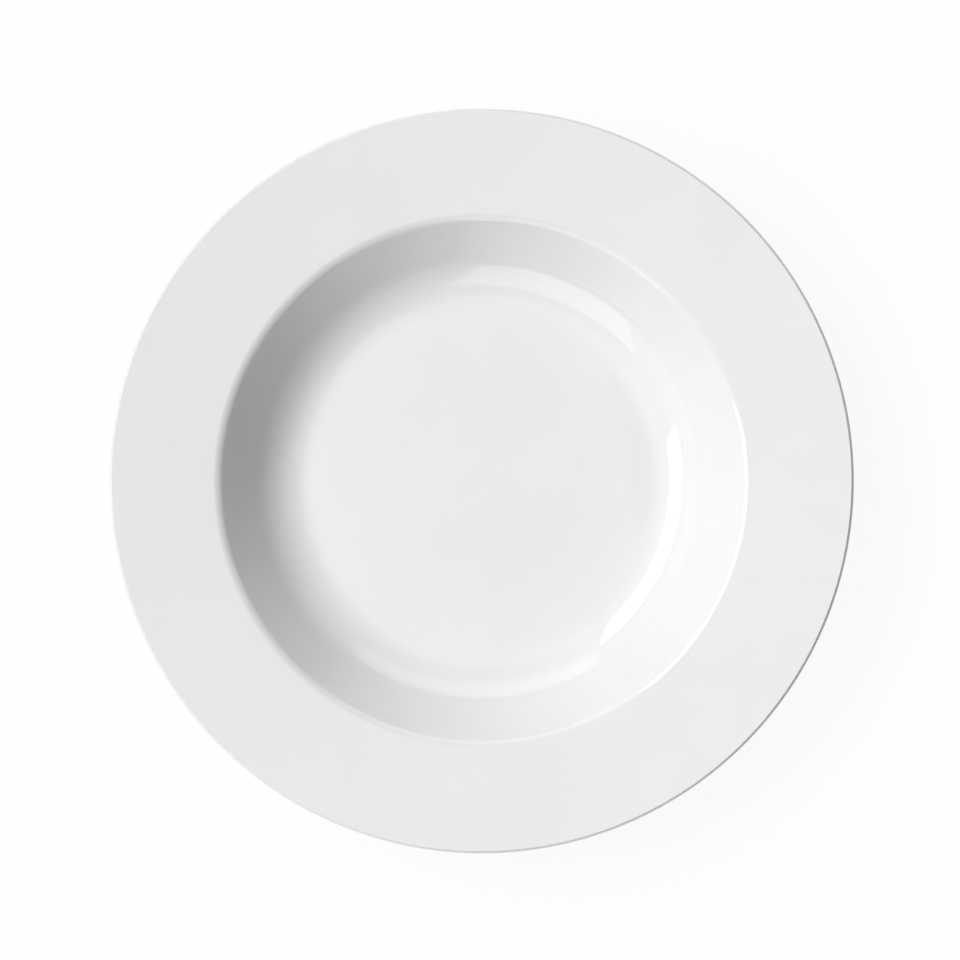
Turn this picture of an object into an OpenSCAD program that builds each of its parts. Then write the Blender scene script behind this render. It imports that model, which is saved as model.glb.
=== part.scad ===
// Rimmed soup plate in white glazed porcelain.
//
// The plate is one clay body, turned to a single outline round its axis, and two coats of glaze.
// The face coat starts on the outside of the foot ring, runs up under the rim, over the lip and
// across the whole face. The base coat fills the recess inside the foot ring. The bottom of the
// foot ring is wiped bare before firing, so that it keeps the two coats apart and stands on clay.
//
// +Z is up, and the origin lies on the table at the plate's axis.

/* [Plate] */
// Diameter over the rim
plate_d = 240; // [210:1:290]
// Slope of the rim, rising outwards
rim_angle = 4; // [0:0.5:12]
// Thickness of the rim at its lip, measured upright
lip_h = 4; // [3:0.1:6]
// Share of the lip's height that its upper rounding takes, and the lower one takes the rest
lip_top_share = 0.2; // [0.15:0.05:0.7]
// How much flatter the rim's underside is than its face, so that the rim thickens inwards
rim_taper_angle = 0.6; // [0:0.1:1.5]

/* [Well] */
// Diameter at which the rim's slope and the well's wall would meet in a sharp corner
well_d = 169.5; // [145:0.5:190]
// Depth from that corner down to the middle of the floor
well_depth = 22; // [18:0.5:30]
// Slope of the wall
wall_angle = 55; // [50:1:66]
// Rounding of the shoulder, where the rim turns down into the well
shoulder_r = 4; // [2:0.5:7]
// Rounding between the wall and the floor
well_curve_r = 19.5; // [14:0.5:24]
// How steeply the floor, which is crowned in the middle, falls where it reaches that rounding
floor_angle = 4.5; // [1:0.25:5]

/* [Body] */
// Thickness of the wall
wall_t = 4.4; // [3.5:0.1:6]
// Thickness of the base
base_t = 4.6; // [3.5:0.1:6]
// Rounding under the shoulder, on the plate's outside
under_shoulder_r = 6; // [3:0.5:9]
// Slope at which the outside of the body reaches the foot ring
heel_angle = 26; // [20:1:36]

/* [Foot ring] */
// Clearance under the middle of the base
foot_h = 5.8; // [5.4:0.1:7.4]
// Width of the foot ring where it stands, before its edges are rounded
foot_w = 3.6; // [2.6:0.1:6]
// Straight stretch of the body's underside between its heel and the foot ring
foot_setback = 0.4; // [0.2:0.1:3]
// Slant of the foot ring's sides
foot_angle = 8; // [4:1:15]
// Rounding of the foot ring's standing edges
foot_edge_r = 0.8; // [0.4:0.1:1]
// Rounding between the foot ring and the body, outside
foot_outer_r = 2.4; // [1.2:0.2:4]
// Rounding between the foot ring and the base, inside
foot_inner_r = 1.6; // [1:0.1:1.8]

/* [Glaze] */
// Thickness of the glaze
glaze_t = 0.25; // [0.2:0.01:0.4]
// Height of the bare edge that is wiped on the foot ring
bare_h = 1.2; // [1:0.1:1.6]

/* [Hidden] */

// Turn of the outline in one straight step, and the fewest steps in one rounding
step_angle = 5;
least_steps = 5;
// Points of the outline that lie closer together than this are one point
least_edge = 0.001;
// Facets of a whole turn round the axis
$fn = 180;
right_angle = 90;

plate_r = plate_d / 2;
well_r = well_d / 2;
rim_w = plate_r - well_r;
floor_z = foot_h + base_t;
underside_angle = rim_angle - rim_taper_angle;

// The outline runs clockwise in [radius, height]: out along the face, over the lip, and back under.
// A rounding is [centre, radius, first angle, last angle, turn]. Its turn is 1 where the surface
// is hollow and -1 where it bulges, so a depth under the surface adds turn times that depth to
// the radius.

function unit(v) = v / norm(v);
function along(angle) = [cos(angle), sin(angle)];
function heading(v) = atan2(v[1], v[0]);
function meeting(p, p_along, q, q_along) = p + p_along * cross(q - p, q_along) / cross(p_along, q_along);

function arc(centre, radius, first, last) = [centre, radius, first, last, sign(last - first)];

// The rounding of a corner between two straight stretches of the outline
function corner(before, point, after, radius) =
    let (
        back = unit(before - point),
        ahead = unit(after - point),
        half = acos(back * ahead) / 2,
        centre = point + unit(back + ahead) * radius / sin(half),
        first = heading(point + back * radius / tan(half) - centre),
        turn = sign(cross(point - before, after - point))
    )
    arc(centre, radius, first, first + turn * 2 * (right_angle - half));

// The points of one rounding, or of several in turn, at a depth under the finished surface
function arc_points(a, depth) =
    let (steps = max(least_steps, ceil(abs(a[3] - a[2]) / step_angle)))
    [for (i = [0:steps]) a[0] + (a[1] + a[4] * depth) * along(a[2] + (a[3] - a[2]) * i / steps)];
function distinct(points) =
    [for (i = [0:len(points) - 1]) if (i == 0 || norm(points[i] - points[i - 1]) > least_edge) points[i]];
function path_points(arcs, depth) = distinct([for (a = arcs) each arc_points(a, depth)]);
function backwards(points) = [for (i = [len(points) - 1:-1:0]) points[i]];

// Floor: a low crown that meets the well's rounding at its own slope
crown_drop = tan(floor_angle / 2);
curve_tangent = well_curve_r * tan((wall_angle + floor_angle) / 2);
curve_climb = curve_tangent * (cos(floor_angle) * tan(wall_angle) + sin(floor_angle));
floor_r = (well_r * tan(wall_angle) - well_depth - curve_climb) / (tan(wall_angle) + crown_drop);
floor_edge = [floor_r, floor_z - floor_r * crown_drop];
well_corner = floor_edge + curve_tangent * along(-floor_angle);
crown_r = floor_r / sin(floor_angle);
crown_centre = [0, floor_z - crown_r];
curve_centre = floor_edge + well_curve_r * along(right_angle - floor_angle);

// Rim: its sharp corners, and the roundings that share the lip's height
shoulder = [well_r, floor_z + well_depth];
lip_top = shoulder + rim_w * [1, tan(rim_angle)];
lip_bottom = lip_top - [0, lip_h];
lip_top_r = lip_h * lip_top_share * tan((right_angle - rim_angle) / 2);
lip_under_r = lip_h * (1 - lip_top_share) * tan((right_angle + underside_angle) / 2);

// Outside: a wall parallel to the inner one, turning in under the well to the heel
heel_r = well_curve_r + wall_t;
outer_wall_foot = curve_centre + heel_r * along(wall_angle - right_angle);
heel_end = curve_centre + heel_r * along(heel_angle - right_angle);
under_shoulder = meeting(lip_bottom, along(underside_angle), outer_wall_foot, along(wall_angle));

// Foot ring: slanted sides that round into the body outside and into the base inside
foot_outer_tangent = foot_outer_r * tan((right_angle - heel_angle - foot_angle) / 2);
foot_top_outer = heel_end - (foot_setback + foot_outer_tangent) * along(heel_angle);
stand_outer = foot_top_outer - foot_top_outer[1] * [tan(foot_angle), 1];
stand_inner = stand_outer - [foot_w, 0];
base_r = crown_r - base_t;
foot_inward = -along(foot_angle);
foot_inner_offset = foot_inner_r - (crown_centre - stand_inner) * foot_inward;
foot_inner_centre = crown_centre + foot_inner_offset * foot_inward
    + sqrt((base_r - foot_inner_r) ^ 2 - foot_inner_offset ^ 2) * along(foot_angle + right_angle);
base_edge_angle = heading(foot_inner_centre - crown_centre);

// The glazed stretches of the outline, as roundings joined by straight lines
face_path = [
    arc(crown_centre, crown_r, right_angle, right_angle - floor_angle),
    arc(curve_centre, well_curve_r, -floor_angle - right_angle, wall_angle - right_angle),
    corner(well_corner, shoulder, lip_top, shoulder_r),
    corner(shoulder, lip_top, lip_bottom, lip_top_r),
    corner(lip_top, lip_bottom, under_shoulder, lip_under_r),
    corner(lip_bottom, under_shoulder, outer_wall_foot, under_shoulder_r),
    arc(curve_centre, heel_r, wall_angle - right_angle, heel_angle - right_angle),
    corner(heel_end, foot_top_outer, stand_outer, foot_outer_r),
];
base_path = [
    arc(foot_inner_centre, foot_inner_r, foot_angle, base_edge_angle),
    arc(crown_centre, base_r, base_edge_angle, right_angle),
];

// Where the glaze stops on the foot ring's sides, at a depth under the finished surface
function outer_stop(depth) = stand_outer + [bare_h * tan(foot_angle) - depth / cos(foot_angle), bare_h];
function inner_stop(depth) = stand_inner + [depth / cos(foot_angle) - bare_h * tan(foot_angle), bare_h];

// The bare foot, set in from the glazed sides by the glaze's thickness
bare_outer = stand_outer - [glaze_t / cos(foot_angle), 0];
bare_inner = stand_inner + [glaze_t / cos(foot_angle), 0];
bare_path = [
    corner(outer_stop(glaze_t), bare_outer, bare_inner, foot_edge_r),
    corner(bare_outer, bare_inner, inner_stop(glaze_t), foot_edge_r),
];

// Fired clay: the whole plate less its glaze, standing on the bare foot
module porcelain_body() {
    color([0.90, 0.88, 0.84])
        rotate_extrude()
            polygon(concat(
                path_points(face_path, glaze_t),
                [outer_stop(glaze_t)],
                path_points(bare_path, 0),
                [inner_stop(glaze_t)],
                path_points(base_path, glaze_t)
            ));
}

// Glaze of the face, the lip and the outside, down to the bare edge of the foot ring
module face_glaze() {
    color([0.95, 0.95, 0.95])
        rotate_extrude()
            polygon(concat(
                path_points(face_path, 0),
                [outer_stop(0), outer_stop(glaze_t)],
                backwards(path_points(face_path, glaze_t))
            ));
}

// Glaze of the base inside the foot ring
module base_glaze() {
    color([0.95, 0.95, 0.95])
        rotate_extrude()
            polygon(concat(
                [inner_stop(0)],
                path_points(base_path, 0),
                backwards(path_points(base_path, glaze_t)),
                [inner_stop(glaze_t)]
            ));
}

porcelain_body();
face_glaze();
base_glaze();
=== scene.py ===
import bpy
import numpy as np
from mathutils import Matrix, Vector


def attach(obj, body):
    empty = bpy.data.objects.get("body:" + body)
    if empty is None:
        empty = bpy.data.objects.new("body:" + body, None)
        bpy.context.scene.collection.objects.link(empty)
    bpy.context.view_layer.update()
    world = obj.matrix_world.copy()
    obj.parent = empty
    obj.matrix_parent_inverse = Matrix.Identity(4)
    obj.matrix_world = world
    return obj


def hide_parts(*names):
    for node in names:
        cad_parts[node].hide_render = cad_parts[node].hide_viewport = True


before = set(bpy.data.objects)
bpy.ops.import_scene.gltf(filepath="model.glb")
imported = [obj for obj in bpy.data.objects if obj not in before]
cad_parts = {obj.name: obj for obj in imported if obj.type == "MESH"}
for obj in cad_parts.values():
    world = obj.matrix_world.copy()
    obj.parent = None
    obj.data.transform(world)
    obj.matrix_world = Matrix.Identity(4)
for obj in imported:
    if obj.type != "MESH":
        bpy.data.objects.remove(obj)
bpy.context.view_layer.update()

# Clay body
# One jiggered piece of porcelain: the wet clay is rolled over a turning mould that shapes the face,
# while a blade held over it shapes the back and the foot ring. It is fired once before glazing,
# and only the foot ring, wiped clean of glaze and ground flat, still shows the bare clay.
rim_r = 0.120
rim_slope = 4.0
lip_height = 0.0040
lip_top_part = 0.2
underside_slope = 3.4

shoulder_r = 0.08475
well_depth = 0.022
wall_slope = 55.0
shoulder_round = 0.004
well_round = 0.0195
floor_fall = 4.5

wall_thickness = 0.0044
base_thickness = 0.0046
under_shoulder_round = 0.006
heel_slope = 26.0

foot_clearance = 0.0058
foot_width = 0.0036
foot_setback = 0.0004
foot_slant = 8.0
foot_edge_round = 0.0008
foot_outer_round = 0.0024
foot_inner_round = 0.0016

glaze_thickness = 0.00025
bare_height = 0.0012

# The outline is divided by degrees in its roundings and by metres where it runs straight. Points closer
# than a small share of that length become one.
outline_step = 2.5
least_steps = 8
straight_step = 0.006
joined_share = 0.02
turn_count = 270
sharp_angle = 40.0

# Every angle here is in degrees and every length in metres
right_angle = 90.0
half_turn = 180.0


def sine(degrees):
    return np.sin(np.radians(degrees))


def cosine(degrees):
    return np.cos(np.radians(degrees))


def tangent(degrees):
    return np.tan(np.radians(degrees))


def unit(vector):
    """A vector divided by its length."""
    return vector / np.hypot(*vector)


def along(slope):
    """The direction [r, z] that climbs outwards at a slope."""
    return np.array([cosine(slope), sine(slope)])


def right_of(heading):
    """The direction at a right angle to a heading, on its right: its sine outwards, its cosine down."""
    return np.array([sine(heading), -cosine(heading)])


def heading_of(vector):
    """The angle at which a vector [r, z] climbs from straight outwards."""
    return np.degrees(np.arctan2(vector[1], vector[0]))


def cross(a, b):
    """Above 0 where b turns left from a: the r of a times the z of b, less the z of a times the r of b."""
    return a[0] * b[1] - a[1] * b[0]


def meeting(start, ahead, other, other_ahead):
    """Where two lines meet: the start, moved ahead by the ratio of two cross products."""
    return start + ahead * cross(other - start, other_ahead) / cross(ahead, other_ahead)


def rounding(centre, radius, first, last):
    """A rounding travelled from one heading to another. It bulges where the heading falls."""
    return centre, radius, first, last


def corner(before, point, after, radius):
    """The rounding tangent to both sides of a corner: its centre stands off each side by its radius."""
    ahead = unit(point - before)
    onward = unit(after - point)
    swing = np.degrees(np.arctan2(cross(ahead, onward), ahead @ onward))
    start = point - ahead * radius * tangent(abs(swing) / 2)
    first = heading_of(ahead)
    return rounding(start - np.sign(swing) * radius * right_of(first), radius, first, first + swing)


def rounded(path, depth):
    """The points of roundings in turn, at a depth under the surface. Where the surface is hollow, a point
    lies off its centre on the heading's right, by the radius and the depth. Where it bulges, a point lies
    on the left, by the radius less the depth."""
    rows = []
    for centre, radius, first, last in path:
        hollow = np.sign(last - first)
        steps = max(least_steps, int(abs(last - first) / outline_step))
        headings = np.linspace(first, last, 1 + steps)
        rows.append(centre + (hollow * radius + depth) * right_of(headings).T)
    return np.concatenate(rows)


def turned(name, outline, material):
    """A closed surface turned round the axis: the outline's [r, z], turned by an angle a, lies at r cos a,
    r sin a, z. The outline starts and ends on the axis, where fans close it."""
    lengths = np.concatenate([[0], np.cumsum(np.hypot(*np.diff(outline, axis=0).T))])
    places = np.union1d(lengths, np.arange(0, lengths[-1], straight_step))
    places = places[np.concatenate([[True], np.diff(places) > joined_share * straight_step])]
    places[-1] = lengths[-1]
    radii, heights = (np.interp(places, lengths, column)[1:-1] for column in outline.T)
    turns = np.linspace(0, 2 * np.pi, turn_count, endpoint=False)
    rings = np.stack([
        radii[:, None] * np.cos(turns),
        radii[:, None] * np.sin(turns),
        np.broadcast_to(heights[:, None], (len(radii), turn_count)),
    ], axis=2).reshape(-1, 3)
    poles = [[0, 0, outline[0, 1]], [0, 0, outline[-1, 1]]]
    points = np.concatenate([rings, poles])

    here = np.arange(len(radii) * turn_count).reshape(-1, turn_count)
    beside = np.roll(here, -1, axis=1)
    quads = np.stack([here[:-1], here[1:], beside[1:], beside[:-1]], axis=2).reshape(-1, 4)
    first_pole = np.full(turn_count, len(rings))
    last_pole = first_pole + 1
    first_fan = np.stack([first_pole, here[0], beside[0]], axis=1)
    last_fan = np.stack([here[-1], last_pole, beside[-1]], axis=1)
    faces = quads.tolist() + first_fan.tolist() + last_fan.tolist()

    mesh = bpy.data.meshes.new(name)
    mesh.from_pydata(points.tolist(), [], faces)
    mesh.polygons.foreach_set("use_smooth", np.ones(len(mesh.polygons), dtype=bool))
    mesh.set_sharp_from_angle(angle=np.radians(sharp_angle))
    mesh.materials.append(material)
    piece = bpy.data.objects.new(name, mesh)
    bpy.context.scene.collection.objects.link(piece)
    return piece


floor_z = foot_clearance + base_thickness
crown_drop = tangent(floor_fall / 2)
wall_climb = tangent(wall_slope)
round_reach = well_round * tangent((wall_slope + floor_fall) / 2)
round_climb = round_reach * (cosine(floor_fall) * wall_climb + sine(floor_fall))
floor_r = (shoulder_r * wall_climb - well_depth - round_climb) / (wall_climb + crown_drop)
floor_edge = np.array([floor_r, floor_z - floor_r * crown_drop])
crown_radius = floor_r / sine(floor_fall)
crown_centre = np.array([0, floor_z - crown_radius])
round_centre = floor_edge - well_round * right_of(-floor_fall)
well_corner = floor_edge + round_reach * along(-floor_fall)

shoulder = np.array([shoulder_r, floor_z + well_depth])
lip_top = shoulder + (rim_r - shoulder_r) * np.array([1, tangent(rim_slope)])
lip_bottom = lip_top - np.array([0, lip_height])
lip_top_round = lip_height * lip_top_part * tangent((right_angle - rim_slope) / 2)
lip_under_round = lip_height * (1 - lip_top_part) * tangent((right_angle + underside_slope) / 2)

heel_round = well_round + wall_thickness
outer_wall_foot = round_centre + heel_round * right_of(wall_slope)
heel_end = round_centre + heel_round * right_of(heel_slope)
under_shoulder = meeting(lip_bottom, along(underside_slope), outer_wall_foot, along(wall_slope))

foot_reach = foot_setback + foot_outer_round * tangent((right_angle - heel_slope - foot_slant) / 2)
foot_top = heel_end - foot_reach * along(heel_slope)
stand_outer = foot_top - foot_top[1] * np.array([tangent(foot_slant), 1])
stand_inner = stand_outer - np.array([foot_width, 0])
base_radius = crown_radius - base_thickness
inward = -along(foot_slant)
inner_offset = foot_inner_round - (crown_centre - stand_inner) @ inward
inner_rise = np.sqrt((base_radius - foot_inner_round) ** 2 - inner_offset ** 2)
foot_inner_centre = crown_centre + inner_offset * inward - inner_rise * right_of(foot_slant)
base_fall = right_angle - heading_of(foot_inner_centre - crown_centre)

# The outline travels out along the face, over the lip and back under, so that the clay is on its right
face_path = [
    rounding(crown_centre, crown_radius, 0, -floor_fall),
    rounding(round_centre, well_round, -floor_fall, wall_slope),
    corner(well_corner, shoulder, lip_top, shoulder_round),
    corner(shoulder, lip_top, lip_bottom, lip_top_round),
    corner(lip_top, lip_bottom, under_shoulder, lip_under_round),
    corner(lip_bottom, under_shoulder, outer_wall_foot, under_shoulder_round),
    rounding(round_centre, heel_round, half_turn + wall_slope, half_turn + heel_slope),
    corner(heel_end, foot_top, stand_outer, foot_outer_round),
]
base_path = [
    rounding(foot_inner_centre, foot_inner_round, right_angle + foot_slant, half_turn - base_fall),
    rounding(crown_centre, base_radius, half_turn - base_fall, half_turn),
]

bare_lean = bare_height * tangent(foot_slant)


def outer_stop(depth):
    """Where the face's glaze stops, on the foot's slanted outer side, at a depth under the surface."""
    return stand_outer + np.array([bare_lean - depth / cosine(foot_slant), bare_height])


def inner_stop(depth):
    """The same for the base's glaze, on the foot's inner side."""
    return stand_inner + np.array([depth / cosine(foot_slant) - bare_lean, bare_height])


bare_shift = np.array([glaze_thickness / cosine(foot_slant), 0])
bare_outer = stand_outer - bare_shift
bare_inner = stand_inner + bare_shift
bare_path = [
    corner(outer_stop(glaze_thickness), bare_outer, bare_inner, foot_edge_round),
    corner(bare_outer, bare_inner, inner_stop(glaze_thickness), foot_edge_round),
]


class Wire:
    """One socket of a material's nodes, so that shader maths reads as plain Python."""

    def __init__(self, tree, socket=None):
        self.tree = tree
        self.socket = socket

    def node(self, kind, settings=None, sockets=None, output=0):
        """A node of a kind, its settings made first, then its sockets: a value or a wire for each."""
        new = self.tree.nodes.new(kind)
        for name, value in (settings or {}).items():
            setattr(new, name, value)
        for name, value in (sockets or {}).items():
            if isinstance(value, Wire):
                self.tree.links.new(value.socket, new.inputs[name])
            else:
                new.inputs[name].default_value = value
        return Wire(self.tree, new.outputs[output])

    def maths(self, operation, other=0.0):
        """An operation on this wire, and on a second value or wire where it takes two."""
        return self.node("ShaderNodeMath", {"operation": operation}, {0: self, 1: other})

    def __add__(self, other):
        return self.maths("ADD", other)

    def __mul__(self, other):
        return self.maths("MULTIPLY", other)

    __radd__ = __add__
    __rmul__ = __mul__

    def between(self, low, high):
        """0 at the low value, 1 at the high one and a smooth step from one to the other."""
        sockets = {"Value": self, "From Min": low, "From Max": high}
        return self.node("ShaderNodeMapRange", {"interpolation_type": "SMOOTHSTEP"}, sockets)

    def from_axis(self):
        """The distance of this place from the axis: its length, once its height is taken away."""
        flat = self.node("ShaderNodeVectorMath", {"operation": "MULTIPLY"}, {0: self, 1: (1, 1, 0)})
        return flat.node("ShaderNodeVectorMath", {"operation": "LENGTH"}, {0: flat}, "Value")

    def noise(self, per_metre, detail):
        """Noise of 0 to 1 at this place: so many spots in a metre, with so many finer layers."""
        return self.node("ShaderNodeTexNoise", {}, {"Vector": self, "Scale": per_metre, "Detail": detail})

    def mixed(self, low, high):
        """From one colour to another as this wire goes from 0 to 1."""
        sockets = {0: self, 6: (*low, 1), 7: (*high, 1)}
        return self.node("ShaderNodeMix", {"data_type": "RGBA"}, sockets, 2)

    def bump(self, distance):
        """A normal from this wire as a height of 0 to 1 times the distance."""
        return self.node("ShaderNodeBump", {}, {"Height": self, "Distance": distance, "Strength": 1.0})


def finish(name, refraction, varied):
    """A material: a Principled shader with a constant index of refraction, and the sockets that vary with
    the object's place."""
    material = bpy.data.materials.new(name)
    material.use_nodes = True
    shader = material.node_tree.nodes["Principled BSDF"]
    shader.inputs["IOR"].default_value = refraction
    place = Wire(material.node_tree).node("ShaderNodeTexCoord", output="Object")
    for socket, wire in varied(place).items():
        material.node_tree.links.new(wire.socket, shader.inputs[socket])
    return material


clay_refraction = 1.5
clay_colour = (0.78, 0.75, 0.70)
rubbed_colour = (0.66, 0.64, 0.61)
rubbed_from = 0.45
rubbed_to = 0.65
clay_roughness = 0.62
grain_roughness = 0.2
marks_radians_per_metre = 9000.0
marks_wander = 3.0
grain_share = 0.7
marks_share = 0.15
clay_relief = 0.00004


def bare_clay(place):
    """Fine grain everywhere, concentric marks of the grinding wheel, and a slight grey where it rubs."""
    grain = place.noise(per_metre=2600.0, detail=3.0)
    mottle = place.noise(per_metre=240.0, detail=2.0)
    marks = (place.from_axis() * marks_radians_per_metre + mottle * marks_wander).maths("SINE")
    return {
        "Base Color": mottle.between(rubbed_from, rubbed_to).mixed(clay_colour, rubbed_colour),
        "Roughness": clay_roughness + grain * grain_roughness,
        "Normal": (grain * grain_share + marks * marks_share).bump(clay_relief),
    }


clay = finish("bare_clay", clay_refraction, bare_clay)

body_outline = np.concatenate([
    rounded(face_path, glaze_thickness),
    [outer_stop(glaze_thickness)],
    rounded(bare_path, 0),
    [inner_stop(glaze_thickness)],
    rounded(base_path, glaze_thickness),
])
clay_body = turned("clay_body", body_outline, clay)
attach(clay_body, "root")
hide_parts("porcelain_body")

# Face glaze
# The plate is dipped, so one coat of clear glaze runs from the foot's outer side, up under the rim,
# over the lip and across the whole face. It melts to a hard gloss with the faint dimpling of an
# orange's skin, and it ends at the wiped foot in a small rounded edge.
glaze_refraction = 1.52
glaze_white = (0.80, 0.80, 0.80)
glaze_grey = (0.787, 0.787, 0.787)
clouds_from = 0.35
clouds_to = 0.65
glaze_roughness = 0.035
clouds_roughness = 0.02
peel_share = 0.25
glaze_relief = 0.00002
glaze_bead_round = 0.00016


def glazed(place):
    """Broad faint clouds in the white, orange peel a few millimetres across, and slower waves under it."""
    clouds = place.noise(per_metre=28.0, detail=3.0)
    peel = place.noise(per_metre=260.0, detail=2.0)
    waves = place.noise(per_metre=45.0, detail=1.0)
    return {
        "Base Color": clouds.between(clouds_from, clouds_to).mixed(glaze_white, glaze_grey),
        "Roughness": glaze_roughness + clouds * clouds_roughness,
        "Normal": (peel * peel_share + waves).bump(glaze_relief),
    }


glaze = finish("white_glaze", glaze_refraction, glazed)

glaze_edge = corner(heel_end, outer_stop(0), outer_stop(glaze_thickness), glaze_bead_round)
face_outline = np.concatenate([
    rounded(face_path + [glaze_edge], 0),
    [outer_stop(glaze_thickness)],
    rounded(face_path, glaze_thickness)[::-1],
])
face_glaze = turned("glazed_face", face_outline, glaze)
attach(face_glaze, "root")
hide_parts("face_glaze")

# Base glaze
# The same dip fills the recess inside the foot ring, and the wiped foot cuts it off from the rest.
# It is the same glaze at the same thickness, and ends in the same small rounded edge.
inner_side_top = foot_inner_centre - foot_inner_round * inward
base_edge = corner(inner_stop(glaze_thickness), inner_stop(0), inner_side_top, glaze_bead_round)
base_outline = np.concatenate([
    rounded(base_path, glaze_thickness)[::-1],
    [inner_stop(glaze_thickness)],
    rounded([base_edge] + base_path, 0),
])
base_glaze = turned("glazed_base", base_outline, glaze)
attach(base_glaze, "root")
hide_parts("base_glaze")

# Table
# A plain white surface that the plate stands on. The camera and the glaze's reflections see most of
# its white as light of its own, as on a lit sweep, and the rest as it is lit, so the shadow stays.
table_size = 6.0
table_white = (0.86, 0.86, 0.86, 1)
table_roughness = 0.9
table_glow = 0.93
pure_white = (1, 1, 1, 1)


def seen_directly(start):
    """1 for a ray from the camera, for one off gloss and for one through glass, and 0 for the rest."""
    seen = start.node("ShaderNodeLightPath", output="Is Camera Ray")
    for ray in ("Is Glossy Ray", "Is Transmission Ray"):
        seen = seen.maths("MAXIMUM", start.node("ShaderNodeLightPath", output=ray))
    return seen


bpy.ops.mesh.primitive_plane_add(size=table_size)
table = bpy.context.object
table.name = "table"
sweep = bpy.data.materials.new("white_sweep")
sweep.use_nodes = True
tree = sweep.node_tree
surface = tree.nodes["Principled BSDF"]
surface.inputs["Base Color"].default_value = table_white
surface.inputs["Roughness"].default_value = table_roughness
start = Wire(tree)
lit = Wire(tree, surface.outputs["BSDF"])
glow = start.node("ShaderNodeEmission", {}, {"Color": pure_white, "Strength": 1.0})
mixed = start.node("ShaderNodeMixShader", {}, {0: seen_directly(start) * table_glow, 1: lit, 2: glow})
tree.links.new(mixed.socket, tree.nodes["Material Output"].inputs["Surface"])
table.data.materials.append(sweep)

# Light
# A tall window stands to the plate's left and high over it. White boards stand low behind the plate and
# low in front of it on the left, and a pale ceiling hangs over it. Beyond them the room is plain white.
plate_middle = Vector((0, 0, 0.03))
lamp_distance = 4.0


def towards(azimuth, elevation):
    """The direction at an azimuth, turned from +X towards +Y, and at an elevation over the table."""
    level = cosine(elevation)
    return np.array([level * cosine(azimuth), level * sine(azimuth), sine(elevation)])


def panel(name, azimuth, elevation, tip, width, height, watts):
    """A rectangular lamp at an azimuth and an elevation from the plate. It faces back along its azimuth,
    tipped down by an angle."""
    lamp = bpy.data.lights.new(name, "AREA")
    lamp.shape = "RECTANGLE"
    lamp.size = width
    lamp.size_y = height
    lamp.energy = watts
    holder = bpy.data.objects.new(name, lamp)
    holder.location = plate_middle + Vector(lamp_distance * towards(azimuth, elevation))
    facing = Vector(-towards(azimuth, tip))
    holder.rotation_euler = facing.to_track_quat("-Z", "Y").to_euler()
    bpy.context.scene.collection.objects.link(holder)


panel("tall_window", azimuth=160.6, elevation=63.9, tip=-7.8, width=1.92, height=4.29, watts=268.7)
panel("far_board", azimuth=89.9, elevation=10.8, tip=10.8, width=5.12, height=4.45, watts=80.4)
panel("near_board", azimuth=246.8, elevation=24.2, tip=24.2, width=3.37, height=4.27, watts=64.2)
panel("ceiling", azimuth=189.6, elevation=85.5, tip=85.5, width=2.56, height=1.79, watts=11.4)

room = bpy.data.worlds.new("white_room")
room.use_nodes = True
bpy.context.scene.world = room
background = room.node_tree.nodes["Background"]
background.inputs["Color"].default_value = pure_white
room.node_tree.links.new(seen_directly(Wire(room.node_tree)).socket, background.inputs["Strength"])

# Camera
# It looks down on the plate from almost straight above, a little to the lower right of the axis. The
# plate's rim is to span as many pixels as in the photo, and that sets the lens.
image_px = 960
rim_px = 372.7
sensor_mm = 36.0
camera_distance = 1.2
camera_azimuth = -32.0
camera_tilt = 3.0

lens = bpy.data.cameras.new("camera")
lens.sensor_width = sensor_mm
lens.lens = sensor_mm * camera_distance * rim_px / (image_px * rim_r)
camera = bpy.data.objects.new("camera", lens)
aim = Vector((0, 0, lip_top[1]))
offset = Vector(camera_distance * towards(camera_azimuth, right_angle - camera_tilt))
camera.location = aim + offset
back = offset.normalized()
right = Vector((0, 1, 0)).cross(back).normalized()
up = back.cross(right)
camera.rotation_euler = Matrix((right, up, back)).transposed().to_euler()
bpy.context.scene.collection.objects.link(camera)
bpy.context.scene.camera = camera
bpy.context.scene.view_settings.view_transform = "Standard"
